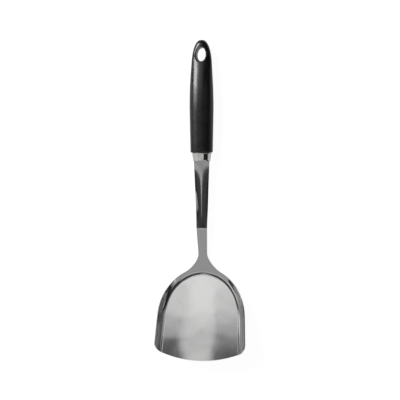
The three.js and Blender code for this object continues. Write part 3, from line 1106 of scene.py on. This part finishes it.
def split_rays(tree: NodeTree) -> tuple[Any, Any]:
    """Tells apart how a ray arrives.

    Args:
        tree: The node tree.

    Returns:
        A mask of the camera's and glass's rays, and one of mirrored rays.
    """
    path = add_node(tree, "LightPath").outputs
    seen = math_node(tree, "MAXIMUM", path["Is Camera Ray"], path["Is Transmission Ray"])
    return seen, path["Is Glossy Ray"]


def new_group(name: str, inputs: dict[str, Any], outputs: Sequence[str]) -> tuple[Any, Any, Any]:
    """Starts a shader node group.

    Args:
        name: The group's name.
        inputs: Name and default of each input: a number, or None for a vector.
        outputs: Names of the outputs, all of them values.

    Returns:
        The group, its inputs and its outputs.
    """
    group = bpy.data.node_groups.new(name, "ShaderNodeTree")
    for key, default in inputs.items():
        kind = "NodeSocketVector" if default is None else "NodeSocketFloat"
        socket = group.interface.new_socket(key, in_out="INPUT", socket_type=kind)
        if default is not None:
            socket.default_value = default
    for key in outputs:
        group.interface.new_socket(key, in_out="OUTPUT", socket_type="NodeSocketFloat")
    source, target = group.nodes.new("NodeGroupInput"), group.nodes.new("NodeGroupOutput")
    return group, source.outputs, target.inputs


def streak_group() -> NodeTree:
    """Makes the fine lines that brushing leaves along the y axis.

    Returns:
        A group that gives a height for the bump and a slower mask, both about 0.5.
    """
    inputs = {"Vector": None, "Fineness": 1500.0}
    group, source, target = new_group("Brushed lines", inputs, ["Height", "Mask"])
    fineness = source["Fineness"]
    slow = math_node(group, "MULTIPLY", fineness, LINE_SLOWNESS)
    scale = add_node(group, "CombineXYZ", {"X": fineness, "Y": slow, "Z": fineness}).outputs[0]
    stretched = vector_node(group, "MULTIPLY", "Vector", source["Vector"], scale)
    fine = noise(group, stretched, 1.0, detail=3.0)
    broad = noise(group, stretched, LINE_MASK_SCALE, detail=4.0)
    fill(group, target, {"Height": fine, "Mask": broad})
    return group


def cloud_group() -> NodeTree:
    """Makes the soft, uneven patches that handling and moulding leave.

    Returns:
        A group that gives a mask from 0 to 1.
    """
    inputs = {"Vector": None, "Scale": 40.0, "Low": 0.4, "High": 0.65}
    group, source, target = new_group("Soft patches", inputs, ["Mask"])
    place, scale = source["Vector"], source["Scale"]
    cloud = noise(group, place, scale, detail=5.0, Distortion=CLOUD_DISTORTION)
    span = {"Value": cloud, "From Min": source["Low"], "From Max": source["High"]}
    ramp = add_node(group, "MapRange", span, interpolation_type="SMOOTHSTEP")
    fill(group, target, {"Mask": ramp.outputs["Result"]})
    return group


def grain_group() -> NodeTree:
    """Makes the fine pebbled grain of a mould.

    Returns:
        A group that gives a height and a mask, both from 0 to 1.
    """
    inputs = {"Vector": None, "Fineness": 1400.0}
    group, source, target = new_group("Mould grain", inputs, ["Height", "Mask"])
    place = {"Vector": source["Vector"], "Scale": source["Fineness"]}
    pebble = add_node(group, "TexVoronoi", place).outputs["Distance"]
    rough = noise(group, source["Vector"], source["Fineness"], detail=2.0)
    halves = [math_node(group, "MULTIPLY", part, 0.5) for part in (pebble, rough)]
    fill(group, target, {"Height": math_node(group, "ADD", *halves), "Mask": rough})
    return group


@dataclass
class Effects:
    """Node groups that the finishes share."""

    streaks: NodeTree = field(default_factory=streak_group)
    clouds: NodeTree = field(default_factory=cloud_group)
    grain: NodeTree = field(default_factory=grain_group)


def use_group(tree: NodeTree, group: NodeTree, **inputs: Any) -> Any:
    """Places a shared effect in a material and returns its outputs."""
    return add_node(tree, "Group", inputs, node_tree=group).outputs


def patch_mask(tree: NodeTree, effects: Effects, place: Any, scale: float, span: Pair) -> Any:
    """Places the soft patches of a scale, where a span of their noise is read."""
    cloud = {"Vector": place, "Scale": scale, "Low": span[0], "High": span[1]}
    return use_group(tree, effects.clouds, **cloud)["Mask"]


def start_material(name: str) -> tuple[Material, NodeTree, Any, Any]:
    """Starts a material with a Principled shader.

    Args:
        name: The material's name.

    Returns:
        The material, its tree, its shader's inputs and its object coordinates.
    """
    material = bpy.data.materials.new(name)
    material.use_nodes = True
    tree = material.node_tree
    place = add_node(tree, "TexCoord").outputs["Object"]
    return material, tree, tree.nodes["Principled BSDF"].inputs, place


def set_bump(tree: NodeTree, shader: Any, height: Any, distance: float, strength: float) -> None:
    """Feeds a height through a bump to a shader's normal."""
    bump = add_node(tree, "Bump", {"Height": height, "Distance": distance, "Strength": strength})
    fill(tree, shader, {"Normal": bump.outputs["Normal"]})


@dataclass(frozen=True)
class BrushedSteel:
    """Satin steel, brushed along the blade, with die lines, faint dents and dull patches."""

    blade: PressedBlade
    bright: Triple = (0.63, 0.628, 0.625)
    dull: Triple = (0.59, 0.588, 0.585)
    patch_scale: float = 45.0
    patch_span: Pair = (0.5, 0.75)
    roughness: Pair = (0.085, 0.115)
    line_fineness: float = 1600.0
    line_span: Pair = (0.3, 0.7)
    line_tone: Pair = (0.98, 1.01)
    line_depth: float = 0.000001
    dent_scale: float = 28.0
    dent_depth: float = 0.0004
    die_fineness: float = 450.0
    die_span: Pair = (0.35, 0.65)
    die_tone: Pair = (0.7, 1.2)
    die_depth: float = 0.00012
    wall_start: Pair = (0.0004, 0.003)
    wall_reach: Pair = (0.012, 0.03)

    def wall_mask(self, tree: NodeTree, place: Any) -> Any:
        """Marks the head's walls by their height above the plate and distance from the heel.

        Args:
            tree: The material's node tree.
            place: The object coordinates.

        Returns:
            A socket that is 1 on the walls and 0 on the plate, the neck and the shank.
        """
        tilt = self.blade.plate_tilt
        heel = (0, self.blade.heel_y, self.blade.heel_height)
        upright = (0, math.sin(tilt), math.cos(tilt))
        offset = vector_node(tree, "SUBTRACT", "Vector", place, heel)
        height = vector_node(tree, "DOT_PRODUCT", "Value", offset, upright)
        forward = vector_node(tree, "DOT_PRODUCT", "Value", offset, (0, -1, 0))
        raised = map_range(tree, height, self.wall_start, (0, 1))
        far = map_range(tree, forward, self.wall_reach, (0, 1))
        return math_node(tree, "MULTIPLY", raised, far)

    def material(self, effects: Effects) -> Material:
        """Builds the material.

        Args:
            effects: The shared node groups.

        Returns:
            The finished material.
        """
        material, tree, shader, place = start_material("Brushed steel")
        lines = use_group(tree, effects.streaks, Vector=place, Fineness=self.line_fineness)
        patches = patch_mask(tree, effects, place, self.patch_scale, self.patch_span)
        walls = self.wall_mask(tree, place)
        dies = use_group(tree, effects.streaks, Vector=place, Fineness=self.die_fineness)["Height"]
        tone = map_range(tree, lines["Mask"], self.line_span, self.line_tone)
        die_tone = map_range(tree, dies, self.die_span, self.die_tone)
        color = mix_colors(tree, patches, self.bright, self.dull)
        scale = {0: color, "Scale": mix_values(tree, walls, tone, die_tone)}
        color = add_node(tree, "VectorMath", scale, operation="SCALE").outputs[0]
        rough = map_range(tree, lines["Mask"], self.line_span, self.roughness)
        fill(tree, shader, {"Base Color": color, "Roughness": rough, "Metallic": 1})
        dents = noise(tree, place, self.dent_scale, detail=1.0)
        relief = math_node(tree, "MULTIPLY", dents, self.dent_depth)
        relief = math_node(tree, "MULTIPLY_ADD", lines["Height"], self.line_depth, relief)
        dies = math_node(tree, "MULTIPLY", dies, walls)
        relief = math_node(tree, "MULTIPLY_ADD", dies, self.die_depth, relief)
        set_bump(tree, shader, relief, distance=1.0, strength=1.0)
        return material


@dataclass(frozen=True)
class PolishedSteel:
    """Brightly polished steel with faint turning lines and finger marks."""

    bright: Triple = (0.68, 0.675, 0.665)
    dull: Triple = (0.58, 0.576, 0.57)
    mark_scale: float = 260.0
    mark_span: Pair = (0.45, 0.7)
    roughness: Pair = (0.07, 0.13)
    line_stretch: Triple = (40, 3200, 40)
    line_depth: float = 0.00001
    line_strength: float = 0.2

    def material(self, effects: Effects) -> Material:
        """Builds the material.

        Args:
            effects: The shared node groups.

        Returns:
            The finished material.
        """
        material, tree, shader, place = start_material("Polished steel")
        marks = patch_mask(tree, effects, place, self.mark_scale, self.mark_span)
        color = mix_colors(tree, marks, self.bright, self.dull)
        rough = map_range(tree, marks, (0, 1), self.roughness)
        fill(tree, shader, {"Base Color": color, "Roughness": rough, "Metallic": 1})
        turned = add_node(tree, "Mapping", {"Vector": place, "Scale": self.line_stretch})
        lines = noise(tree, turned.outputs[0], 1.0, detail=2.0)
        set_bump(tree, shader, lines, self.line_depth, self.line_strength)
        return material


@dataclass(frozen=True)
class MouldedPlastic:
    """Satin black plastic with a fine mould grain and slightly rubbed patches."""

    base: Triple = (0.004, 0.004, 0.0042)
    rubbed: Triple = (0.0055, 0.0055, 0.0056)
    patch_scale: float = 55.0
    patch_span: Pair = (0.42, 0.7)
    uneven_span: Pair = (0.3, 1.6)
    roughness: Pair = (0.26, 0.32)
    grain_fineness: float = 1500.0
    grain_depth: float = 0.00003
    grain_strength: float = 0.3

    def material(self, effects: Effects) -> Material:
        """Builds the material.

        Args:
            effects: The shared node groups.

        Returns:
            The finished material.
        """
        material, tree, shader, place = start_material("Moulded black plastic")
        grain = use_group(tree, effects.grain, Vector=place, Fineness=self.grain_fineness)
        patches = patch_mask(tree, effects, place, self.patch_scale, self.patch_span)
        color = mix_colors(tree, patches, self.base, self.rubbed)
        uneven = math_node(tree, "ADD", patches, grain["Mask"])
        rough = map_range(tree, uneven, self.uneven_span, self.roughness)
        fill(tree, shader, {"Base Color": color, "Roughness": rough})
        set_bump(tree, shader, grain["Height"], self.grain_depth, self.grain_strength)
        return material


@dataclass(frozen=True)
class PaleFloor:
    """Matt floor, white to the camera and pale in the steel, that keeps the object's shadow."""

    paint: float = 0.8
    seen_paint: float = 0.12
    seen_glow: float = 0.95
    mirrored_paint: float = 0.3
    mirrored_glow: float = 0.45
    speckle_scale: float = 30.0
    speckle_span: Pair = (0.3, 0.7)
    speckle_tone: Pair = (0.97, 1.0)

    def material(self) -> Material:
        """Builds the material.

        Returns:
            The finished material.
        """
        material, tree, shader, place = start_material("Pale floor")
        speckle = noise(tree, place, self.speckle_scale, detail=3.0)
        tone = map_range(tree, speckle, self.speckle_span, self.speckle_tone)
        seen, mirrored = split_rays(tree)
        paint = map_range(tree, seen, (0, 1), (self.paint, self.seen_paint))
        paint = mix_values(tree, mirrored, paint, self.mirrored_paint)
        paint = math_node(tree, "MULTIPLY", paint, tone)
        glow = math_node(tree, "MULTIPLY", seen, self.seen_glow)
        glow = mix_values(tree, mirrored, glow, self.mirrored_glow)
        light = {"Emission Color": (1, 1, 1, 1), "Emission Strength": glow}
        matt = {"Roughness": 1, "Specular IOR Level": 0}
        fill(tree, shader, {"Base Color": grey(tree, paint), **light, **matt})
        return material


@dataclass(frozen=True)
class DarkCard:
    """Woven dark card that is paler towards the head's front edge."""

    weave_scale: float = 400.0
    weave_span: Pair = (0.3, 0.7)
    weave_tone: Pair = (0.8, 1.2)
    turn: Pair = (-0.122, -0.1)
    paint: Pair = (0.17, 0.015)

    def material(self) -> Material:
        """Builds the material.

        Returns:
            The finished material.
        """
        material, tree, shader, place = start_material("Dark card")
        weave = noise(tree, place, self.weave_scale, detail=2.0)
        along = add_node(tree, "SeparateXYZ", {0: place}).outputs["Y"]
        tone = map_range(tree, weave, self.weave_span, self.weave_tone)
        tone = math_node(tree, "MULTIPLY", tone, map_range(tree, along, self.turn, self.paint))
        fill(tree, shader, {"Base Color": grey(tree, tone), "Roughness": 1})
        return material


# The studio


def place_and_turn(thing: Object, place: Vector, back: Vector, roll: float) -> None:
    """Places a lamp or camera so that it looks away from a direction, with +Y upwards.

    Args:
        thing: The lamp or camera.
        place: Where it stands.
        back: Unit vector to what is behind it.
        roll: Its turn about that direction.
    """
    across = Vector((0, 1, 0)).cross(back).normalized()
    turn = Matrix((across, back.cross(across), back)).transposed()
    turn = turn @ Matrix.Rotation(roll, 3, "Z")
    thing.matrix_world = Matrix.Translation(place) @ turn.to_4x4()


@dataclass(frozen=True)
class SoftLamp:
    """Rectangular soft lamp that hangs at a place and faces an aim, or straight down."""

    name: str
    place: Triple
    width: float
    height: float
    radiance: float
    aim: Triple | None = None
    roll: float = 0.0

    def build(self) -> None:
        """Hangs the lamp up."""
        light = bpy.data.lights.new(self.name, "AREA")
        light.shape = "RECTANGLE"
        light.size, light.size_y = self.width, self.height
        light.energy = self.radiance * math.pi * self.width * self.height
        lamp = bpy.data.objects.new(self.name, light)
        bpy.context.scene.collection.objects.link(lamp)
        place = Vector(self.place)
        back = (place - Vector(self.aim or (*self.place[:2], 0))).normalized()
        place_and_turn(lamp, place, back, math.radians(self.roll))
        lamp.visible_camera = False


@dataclass(frozen=True)
class Studio:
    """Camera, floor, lamps and the room's own dim light."""

    camera_distance: float = 1.0
    camera_target: Triple = (0.0, 0.0, 0.01)
    camera_lean: float = math.radians(10.428)
    camera_pitch: float = math.radians(-1.829)
    camera_roll: float = math.radians(-0.101)
    camera_clip: Pair = (0.05, 50)
    view_angle: float = math.radians(24.781)
    image_side: int = 400
    centre_right: float = 1.70
    centre_down: float = -0.361
    floor_side: float = 12.0
    floor_drop: float = 0.0001
    card_x: float = 0.22
    card_reach: Pair = (-0.4, -0.03)
    card_height: float = 0.1
    room_fade: Pair = (0.15, 0.5)
    room_tone: Pair = (0.1, 0.015)
    front_fade: Pair = (-0.8, -0.66)
    front_tone: float = 0.4
    backdrop_edge: Pair = (0.22, 0.28)
    backdrop_mirrored: float = 0.3
    lamps: tuple[SoftLamp, ...] = (
        SoftLamp("Head lamp", (-0.23, 0.655, 1.1), 0.54, 0.70, 0.84),
        SoftLamp("Head fringe", (-0.20, 0.2705, 1.1), 1.2, 0.069, 0.52, roll=-2.0),
        SoftLamp("Wide band", (-0.2125, 0.465, 1.06), 0.13, 0.37, 0.22),
        SoftLamp("Middle band", (-0.2125, 0.245, 1.06), 0.13, 0.07, 0.36),
        SoftLamp("Narrow band", (-0.2125, 0.16, 1.06), 0.13, 0.10, 0.74),
        SoftLamp("Head fill", (-0.20, 0.145, 1.1), 1.2, 0.17, 0.10),
        SoftLamp("Shank strip", (-0.225, 0.0025, 1.1), 0.09, 0.115, 0.51),
        SoftLamp("Flank fill", (-0.05, -0.0125, 1.12), 1.3, 0.145, 0.04),
        SoftLamp("Near front panel", (-0.315, -0.26, 1.1), 1.17, 0.14, 0.64),
        SoftLamp("Far front panel", (-0.35, -0.965, 1.1), 2.7, 1.27, 0.42),
        SoftLamp("Right panel", (0.71, 0.31, 1.1), 0.6, 0.32, 0.3),
        SoftLamp("Right front lamp", (1.25, -1.05, 1.15), 0.6, 0.6, 0.4, (0, -0.13, 0)),
        SoftLamp("Right lamp", (1.0, 0.07, 0.5), 0.5, 0.18, 0.15, (0, 0.07, 0)),
        SoftLamp("Collar lamp", (1.15, -0.2, 0.35), 0.5, 0.14, 0.5, (0, -0.2, 0)),
        SoftLamp("Left front lamp", (-0.907, -0.20, 0.623), 0.65, 0.25, 0.62, (0, -0.20, 0)),
        SoftLamp("Key lamp", (-0.744, 0.70, 0.731), 0.55, 0.62, 16.0, (0, 0.1, 0.01)),
        SoftLamp("Key fringe", (-0.744, 0.345, 0.731), 0.55, 0.17, 10.0, (0, 0.1, 0.01)),
        SoftLamp("Left lamp high", (-0.867, 0.14, 0.677), 0.31, 0.13, 1.3, (0, 0.14, 0)),
        SoftLamp("Left lamp low", (-1.067, 0.02, 0.266), 0.31, 0.65, 0.30, (0, 0.02, 0)),
    )

    def set_camera(self) -> None:
        """Sets the camera where the photograph was taken from."""
        data = bpy.data.cameras.new("Camera")
        data.angle = self.view_angle
        data.shift_x = -self.centre_right / self.image_side
        data.shift_y = self.centre_down / self.image_side
        data.clip_start, data.clip_end = self.camera_clip
        camera = bpy.data.objects.new("Camera", data)
        bpy.context.scene.collection.objects.link(camera)
        lean, pitch = self.camera_lean, self.camera_pitch
        level = math.cos(lean)
        back = Vector((math.sin(lean), -math.sin(pitch) * level, level * math.cos(pitch)))
        back.normalize()
        place = Vector(self.camera_target) + back * self.camera_distance
        place_and_turn(camera, place, back, self.camera_roll)
        bpy.context.scene.camera = camera

    def lay_floor(self) -> None:
        """Lays the floor just below the spatula."""
        plane, location = bpy.ops.mesh.primitive_plane_add, (0, 0, -self.floor_drop)
        floor = add_primitive(plane, "floor", size=self.floor_side, location=location)
        floor.data.materials.append(PaleFloor().material())

    def stand_card(self) -> None:
        """Stands a dark card on the floor beside the head, which only reflections see."""
        near, far = self.card_reach
        size = (self.card_height, far - near, 1)
        location = (self.card_x, (near + far) / 2, self.card_height / 2)
        stance = {"size": 1, "location": location, "rotation": (0, QUARTER_TURN, 0)}
        card = add_primitive(bpy.ops.mesh.primitive_plane_add, "flag", size, **stance)
        card.data.materials.append(DarkCard().material())
        card.visible_camera = card.visible_diffuse = card.visible_shadow = False

    def light_room(self) -> None:
        """Gives the room a dim light, stronger in front, that ends in a pale backdrop."""
        world = bpy.data.worlds.new("Room")
        bpy.context.scene.world = world
        world.use_nodes = True
        tree = world.node_tree
        direction = add_node(tree, "TexCoord").outputs["Generated"]
        axes = add_node(tree, "SeparateXYZ", {0: direction}).outputs
        tone = map_range(tree, axes["Z"], self.room_fade, self.room_tone)
        front = map_range(tree, axes["Y"], self.front_fade, (self.front_tone, 0))
        tone = math_node(tree, "MAXIMUM", tone, front)
        seen, mirrored = split_rays(tree)
        mirrored = math_node(tree, "MULTIPLY", mirrored, self.backdrop_mirrored)
        backdrop = map_range(tree, axes["Z"], self.backdrop_edge, (1, 0))
        seen = math_node(tree, "MAXIMUM", seen, mirrored)
        tone = math_node(tree, "MAXIMUM", tone, math_node(tree, "MULTIPLY", seen, backdrop))
        fill(tree, tree.nodes["Background"].inputs, {"Color": grey(tree, tone)})

    def build(self) -> None:
        """Builds the whole studio."""
        bpy.context.scene.view_settings.view_transform = "Standard"
        self.set_camera()
        self.lay_floor()
        self.stand_card()
        self.light_room()
        for lamp in self.lamps:
            lamp.build()


def report(piece: Object) -> None:
    """Logs the size of a finished piece."""
    size = ", ".join(f"{length * MM_PER_METRE:.1f}" for length in piece.dimensions)
    log.info("%s: %s mm, %d faces", piece.name, size, len(piece.data.polygons))


def main() -> None:
    """Builds the studio and the three pieces of the spatula, and reports each."""
    logging.basicConfig(level=logging.INFO, format="%(name)s %(message)s")
    Studio().build()
    effects = Effects()
    low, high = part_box("ferrule")
    level = (low.z + high.z + PressedBlade.thickness) / 2
    blade = PressedBlade(heel_y=low.y - PressedBlade.shank_reach, shank_level=level)
    ferrule = DrawnFerrule(blade)
    handle = MouldedHandle(blade, ferrule)
    report(blade.build(BrushedSteel(blade).material(effects)))
    report(ferrule.build(PolishedSteel().material(effects)))
    report(handle.build(MouldedPlastic().material(effects)))


if __name__ == "__main__":
    main()
